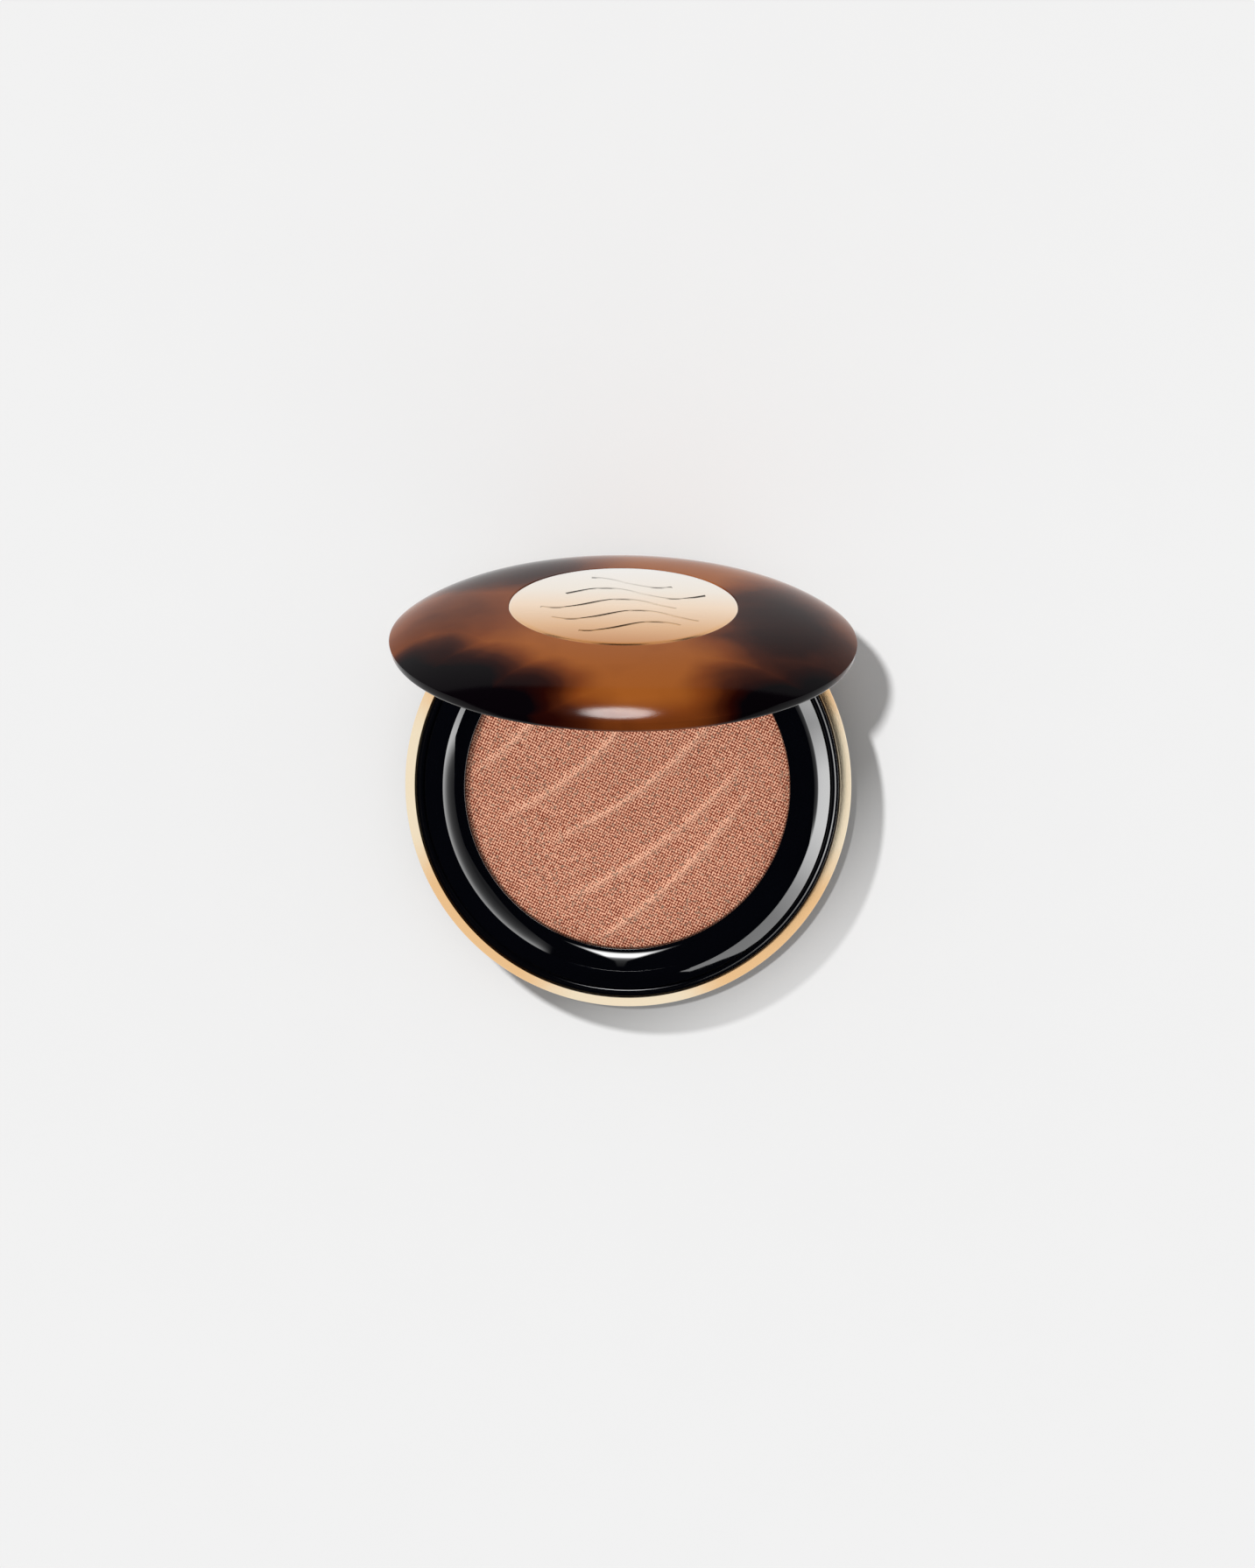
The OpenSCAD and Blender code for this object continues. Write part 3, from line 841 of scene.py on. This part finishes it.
tortoise, root = new_material("tortoiseshell", IOR=1.12)
on_lid = lid_place(root)
swirl = noise(root, on_lid, 0.045, 3.0, 0.5, 0.6)
drift = noise(root, on_lid, 0.12, 2.0, 0.5, 0.3)
across, up_lid = split(root, on_lid)[:2]
clouds = [
    # centre x, centre y, half width, half height, softness and darkness (mm on the lid)
    (-28, -28, 11.5, 9.5, 0.6, 1.1), (28, -6, 13, 20, 0.6, 0.82), (-33, -19, 8, 9, 0.8, 0.85),
    (-17, -32, 9, 5.5, 0.8, 0.95), (-29, -3, 12, 15, 0.8, 0.45), (-22, 22, 17, 14, 0.7, 0.75),
    (28.5, -29.5, 12.5, 8, 0.7, 0.95), (31, -21, 11, 10, 0.8, 0.75), (-17, -38, 12, 5, 0.8, 0.45),
]


def cloud(x, y, wide, high, soft, weight):
    """A soft dark cloud in the resin, its edge stirred by noise."""
    dx = (across - x) / wide
    dy = (up_lid - y) / high
    reach = (dx * dx + dy * dy).maths("SQRT") + (swirl - 0.5) * 0.8
    return (1 - reach.smooth(1 - soft, 1 + soft)) * weight


dark = cloud(*clouds[0])
for patch in clouds[1:]:
    dark = dark.maths("MAXIMUM", cloud(*patch))
# Painted shade: the rim is darkened on its half away from the hinge. It is added to the resin's own clouds.
painted_rim_shade = ((across * across + up_lid * up_lid).maths("SQRT").smooth(35.0, 40.5) * 0.4
            * (1 - up_lid.smooth(-25.0, 0.0)))
resin_and_rim_shade = (dark + (drift - 0.5) * 0.25 + painted_rim_shade).maths("ADD", 0.0, clamp=True)
resin = root.node("ShaderNodeValToRGB", {"stops": [
    (0.0, (0.37, 0.104, 0.017, 1)), (0.3, (0.21, 0.048, 0.008, 1)), (0.6, (0.060, 0.011, 0.003, 1)),
    (0.8, (0.018, 0.002, 0.001, 1)), (1.0, (0.002, 0.001, 0.002, 1))]}, {"Fac": resin_and_rim_shade}, out="Color")
polish = noise(root, on_lid, 3.0, 3.0)
feed(tortoise, "Base Color", resin)
feed(tortoise, "Roughness", 0.09 + polish * 0.04)
feed(tortoise, "Normal", bump(root, polish, 0.003 * mm))

shell = turned("lid_dome", rounded([
    (0, seat_mm + recess_floor, 0), (recess_r, seat_mm + recess_floor, 0.05),
    (recess_r, seat_mm + dome_z(medallion_r, r_mm, dome_h), 0.12),
    *dome(r_mm, dome_h, medallion_r + 0.4, 48)[:-2], (r_mm, seat_mm + rim_h, 0.9),
    *[(r_mm - lip_undercut * (1 - cos(radians(a))), seat_mm + rim_h * (1 - sin(radians(a))), 0)
      for a in range(36, 90, 9)],
    (r_mm - lip_undercut, seat_mm, 0.12), (cavity_r, seat_mm, 0.1), (cavity_r, seat_mm + rim_h - 0.3, 0),
    *dome(cavity_r, cavity_crown, ceiling_r + 0.5, 20, False),
    (ceiling_r, seat_mm + cavity_ceiling, 0), (0, seat_mm + cavity_ceiling, 0),
]), tortoise, 360)
combine(shell, along_hinge("room", arch_r, -hinge_end - knuckle_clear, hinge_end + knuckle_clear, tortoise),
        "DIFFERENCE")
stand_open(shell)
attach(shell, "lid")
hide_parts("lid_shell")


# ---- Medallion ----
# A thin domed disc of light gold, glued flush in the recess, with a bevelled
# edge and five engraved waves.
medallion_proud = 0.08     # its face over the dome's line
medallion_bevel = 0.40
groove_r = 0.40            # the waves are cut by a round tool
groove_lift = 0.10
waves = ((-7, 10), (-12, 13), (-14, 9), (-10, 14), (-6, 8))     # left and right end of each wave
wave_steps = 60
first_wave, wave_pitch = -11, 5.5
wave_swing, wave_rate, wave_shift = 2.4, 0.27, 0.8     # mm, radians a mm, radians a wave
medallion_gold, root = new_material("medallion_gold", Metallic=1.0)
on_lid = lid_place(root)
up_lid = split(root, on_lid)[1]
brushing = root.node("ShaderNodeMapping", {}, {"Vector": on_lid, "Scale": (0.3, 12, 1)})
satin = noise(root, brushing, 1.2, 4.0, 0.7)
# Painted reflection: the gold is paled to near white at the top of the disc and deepened to orange-brown at the
# bottom.
warm = root.node("ShaderNodeValToRGB", {"stops": [
    (0.0, (1.0, 0.975, 0.94, 1)), (0.32, (1.0, 0.91, 0.80, 1)), (0.52, (1.0, 0.78, 0.58, 1)),
    (0.78, (0.84, 0.50, 0.26, 1)), (1.0, (0.62, 0.26, 0.08, 1))]},
    {"Fac": (medallion_r - up_lid) / (2 * medallion_r)}, out="Color")
feed(medallion_gold, "Base Color", warm)
feed(medallion_gold, "Roughness", 0.17 + satin * 0.05)
feed(medallion_gold, "Normal", bump(root, satin, 0.002 * mm))
medal = turned("medallion_disc", [
    (0, seat_mm + recess_floor + 0.1), (medallion_r, seat_mm + recess_floor + 0.1),
    (medallion_r, seat_mm + dome_z(medallion_r, r_mm, dome_h) - 0.20),
    (medallion_r - medallion_bevel, seat_mm + dome_z(medallion_r, r_mm, dome_h) + medallion_proud),
    *[(x, seat_mm + dome_z(x, r_mm, dome_h) + medallion_proud)
      for x in [(medallion_r - 0.45) * i / 28 for i in range(28, -1, -1)]],
], medallion_gold, 256)


def sweep_tree():
    """Sweeps a round tool along a path and closes its ends."""
    tree, given = new_tree("sweeping", [("Radius", "NodeSocketFloat"), ("Material", "NodeSocketMaterial")])
    path = given["Geometry"].node("GeometryNodeMeshToCurve", {}, {"Mesh": given["Geometry"]})
    tool = path.node("GeometryNodeCurvePrimitiveCircle", {}, {"Resolution": 10, "Radius": given["Radius"]})
    swept = path.node("GeometryNodeCurveToMesh", {}, {
        "Curve": path, "Profile Curve": tool, "Fill Caps": True})
    end_tree(tree, swept, given["Material"])
    return tree


sweeping = sweep_tree()
for k, (reach_left, reach_right) in enumerate(waves):
    wave = []
    for i in range(wave_steps + 1):
        x = reach_left + (reach_right - reach_left) * i / wave_steps
        y = first_wave + wave_pitch * k + wave_swing * sin(wave_rate * x + wave_shift * k)
        z = seat_mm + dome_z(hypot(x, y), r_mm, dome_h) + medallion_proud + groove_lift
        wave.append((x * mm, y * mm, z * mm))
    groove = piece_from("groove", wave, edges=[(i, i + 1) for i in range(wave_steps)])
    run_tree(groove, sweeping, Radius=groove_r * mm, Material=medallion_gold)
    combine(medal, groove, "DIFFERENCE")
stand_open(medal)
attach(medal, "lid")
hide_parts("medallion")


# ---- Liner and mirror ----
# The black frame inside the lid carries the two outer knuckles and holds the
# round bevelled mirror on foam tape.
liner_black = black_gloss("liner_black")
mirror_r = 29.5
liner_face = 3.3           # heights are over the seat
liner_skirt = cavity_r - 0.95
liner_fit = 0.05
liner_r = cavity_r - liner_fit
mirror_t = 1.3
mirror_low = liner_face + 0.15
mirror_high = mirror_low + mirror_t
bevel_w, bevel_t = 1.2, 0.35
tape_t = 0.25
lid_knuckle = base_knuckle + 0.35
lid_bore_r = 0.8
liner = turned("mirror_frame", [(x, seat_mm + z) for x, z in rounded([
    (0, mirror_high + tape_t, 0), (mirror_r + 0.1, mirror_high + tape_t, 0),
    (mirror_r + 0.1, liner_face, 0.2),
    (liner_skirt - 2.5, liner_face, 0.4), (liner_skirt - 1.4, 2.35, 0.5), (liner_skirt, 1.3, 0.4),
    (liner_skirt, 0.5, 0.15), (liner_r, 0.5, 0.15), (liner_r, rim_h, 0),
    *[(x, z - seat_mm, 0)
      for x, z, _ in dome(liner_r, cavity_crown - liner_fit, ceiling_r + 0.5, 20, False)[1:]],
    (ceiling_r, cavity_ceiling - liner_fit, 0), (0, cavity_ceiling - liner_fit, 0),
])], liner_black, 320)
combine(liner, along_hinge("room", knuckle_r + knuckle_clear, -lid_knuckle, lid_knuckle, liner_black),
        "DIFFERENCE")
for side in (-1, 1):
    ends = sorted((side * lid_knuckle, side * hinge_end))
    combine(liner, along_hinge("knuckle", knuckle_r, *ends, liner_black, 0.2), "UNION")
combine(liner, along_hinge("bore", lid_bore_r, -hinge_end - 1, hinge_end + 1, liner_black), "DIFFERENCE")
stand_open(liner)
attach(liner, "lid")
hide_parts("lid_liner")

silvering, root = new_material("silvered_glass", Metallic=1.0, Roughness=0.012)
on_lid = lid_place(root)
smear = noise(root, on_lid, 0.25, 4.0, 0.6, 1.0)
feed(silvering, "Base Color", mixed(smear.smooth(0.55, 0.8), (0.90, 0.92, 0.92, 1), (0.86, 0.88, 0.885, 1)))
glass = turned("mirror_glass", [(x, seat_mm + z) for x, z in rounded([
    (0, mirror_low, 0), (mirror_r - bevel_w, mirror_low, 0), (mirror_r, mirror_low + bevel_t, 0.05),
    (mirror_r, mirror_high, 0.1), (0, mirror_high, 0)])], silvering, 256)
stand_open(glass)
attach(glass, "lid")
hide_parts("mirror")


# ---- Inner fittings ----
# What is glued, pressed or laid in out of sight keeps its plain turned shape:
# pan, carrier, ballast, magnets, tapes, sticker, pin, washers and plugs.
def fitting_finish(name, low, high, scale, roughness, metallic):
    """A plain finish with some mottling in its colour and gloss."""
    material, root = new_material(name, Metallic=metallic)
    mottle = noise(root, place(root), scale, 3.0, 0.6)
    feed(material, "Base Color", mixed(mottle, (*low, 1), (*high, 1)))
    feed(material, "Roughness", mottle * 0.15 + roughness)
    feed(material, "Normal", bump(root, mottle, 0.01 * mm))
    return material


glue = (0.75, 0.73, 0.64), (0.82, 0.80, 0.72), 800, 0.3, 0.0
foam = (0.08, 0.08, 0.085), (0.14, 0.14, 0.145), 3000, 0.8, 0.0
nickel = (0.62, 0.60, 0.56), (0.70, 0.68, 0.64), 2000, 0.2, 1.0
fittings = {
    # node: name of the finish, its darker and lighter colour, mottling, roughness, metallic
    "powder_pan": ("pan_aluminium", (0.70, 0.70, 0.71), (0.80, 0.80, 0.81), 900, 0.25, 1.0),
    "pan_carrier": ("carrier_black", (0.02, 0.02, 0.022), (0.04, 0.04, 0.042), 1500, 0.5, 0.0),
    "pan_adhesive": ("glue_film", *glue),
    "medallion_adhesive": ("glue_film_lid", *glue),
    "mirror_tape": ("foam_tape", *foam),
    "ballast_pad": ("foam_pad", *foam),
    "ballast_plate": ("zinc_plate", (0.50, 0.51, 0.53), (0.66, 0.67, 0.69), 400, 0.3, 1.0),
    "base_magnets": ("nickel_base", *nickel),
    "lid_magnets": ("nickel_lid", *nickel),
    "base_label": ("blank_film", (0.82, 0.82, 0.80), (0.88, 0.88, 0.86), 1200, 0.35, 0.0),
    "hinge_pin": ("pin_steel", (0.52, 0.52, 0.54), (0.64, 0.64, 0.66), 2500, 0.22, 1.0),
    "hinge_washers": ("nylon", (0.78, 0.77, 0.72), (0.85, 0.84, 0.80), 1500, 0.45, 0.0),
    "hinge_plugs": ("plug_black", (0.004, 0.004, 0.005), (0.008, 0.008, 0.01), 1500, 0.12, 0.0),
    "lid_bumpers": ("soft_rubber", (0.035, 0.035, 0.037), (0.06, 0.06, 0.062), 2500, 0.6, 0.0),
}
for node, finish in fittings.items():
    mesh = frame["nodes"][node].data
    mesh.materials.clear()
    mesh.materials.append(fitting_finish(*finish))

# Which pieces each light, shade and reflection belongs to. The lid isn't seen in reflections.
base_pieces = [bowl, band, tray, cake]
lid_pieces = [shell, medal, liner, glass]
for node in fittings:
    inside_lid = node in frame["record"]["behaviour"]["bodies"]["lid"]
    (lid_pieces if inside_lid else base_pieces).append(frame["nodes"][node])
for piece in base_pieces:
    base_group.objects.link(piece)
for piece in lid_pieces:
    piece.visible_glossy = False
for piece in base_pieces + lid_pieces:
    compact_group.objects.link(piece)
    board_shade.objects.link(piece)
    if piece not in (tray, cake):
        glow_group.objects.link(piece)
    if piece not in (tray, cake, shell):
        wall_group.objects.link(piece)
tray_group.objects.link(tray)
lid_group.objects.link(shell)
